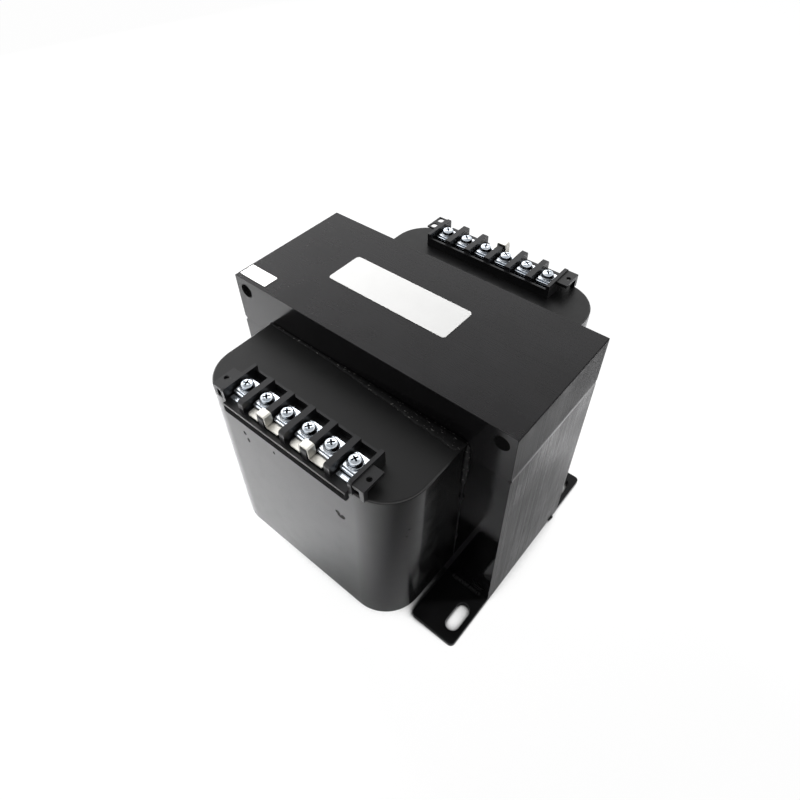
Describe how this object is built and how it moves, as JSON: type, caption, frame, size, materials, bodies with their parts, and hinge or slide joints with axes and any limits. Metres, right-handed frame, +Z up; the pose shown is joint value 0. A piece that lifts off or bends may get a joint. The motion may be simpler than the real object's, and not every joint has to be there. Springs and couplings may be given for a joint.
{
  "type": "laminated chassis transformer",
  "caption": "Open-frame laminated transformer with a cast resin coil, screw terminal blocks on both sides and slotted steel feet.",
  "frame": {"origin": "on the floor, under the middle of the core", "axes": "+X along the long side of the core, +Y through the stack of laminations to the block with the single link, +Z up"},
  "size_m": [0.1724, 0.1812, 0.1463],
  "materials": {
    "core_steel": "black varnish over the edges of the laminations, satin",
    "weld_metal": "weld bead under the same varnish",
    "foot_steel": "black varnish, satin",
    "former_board": "glass-filled nylon",
    "winding_wire": "enamelled copper wire, brass stands in for copper",
    "insulation_paper": "aramid paper",
    "casting_resin": "black casting resin, glossy",
    "block_plastic": "black phenolic moulding",
    "plated_plate": "nickel plated",
    "plated_screw": "nickel plated",
    "plated_link": "nickel plated",
    "label_film": "blank white label film, satin"
  },
  "bodies": {
    "root": {"core_e_stack": "core_steel", "core_i_stack": "core_steel", "seam_weld_left": "weld_metal", "seam_weld_right": "weld_metal", "foot_left": "foot_steel", "foot_right": "foot_steel", "foot_weld_beads": "weld_metal", "coil_former": "former_board", "inner_winding": "winding_wire", "winding_insulation": "insulation_paper", "outer_winding": "winding_wire", "coil_casting": "casting_resin", "lead_wires_front": "winding_wire", "lead_wires_rear": "winding_wire", "terminal_block_front": "block_plastic", "terminal_block_rear": "block_plastic", "terminal_plates_front": "plated_plate", "terminal_plates_rear": "plated_plate", "lower_clamps_front": "plated_plate", "lower_clamps_rear": "plated_plate", "upper_clamps_front": "plated_plate", "upper_clamps_rear": "plated_plate", "terminal_screws_front": "plated_screw", "terminal_screws_rear": "plated_screw", "jumper_link_front_left": "plated_link", "jumper_link_front_right": "plated_link", "jumper_link_rear": "plated_link", "rating_label": "label_film", "small_sticker": "label_film"}
  },
  "joints": []
}
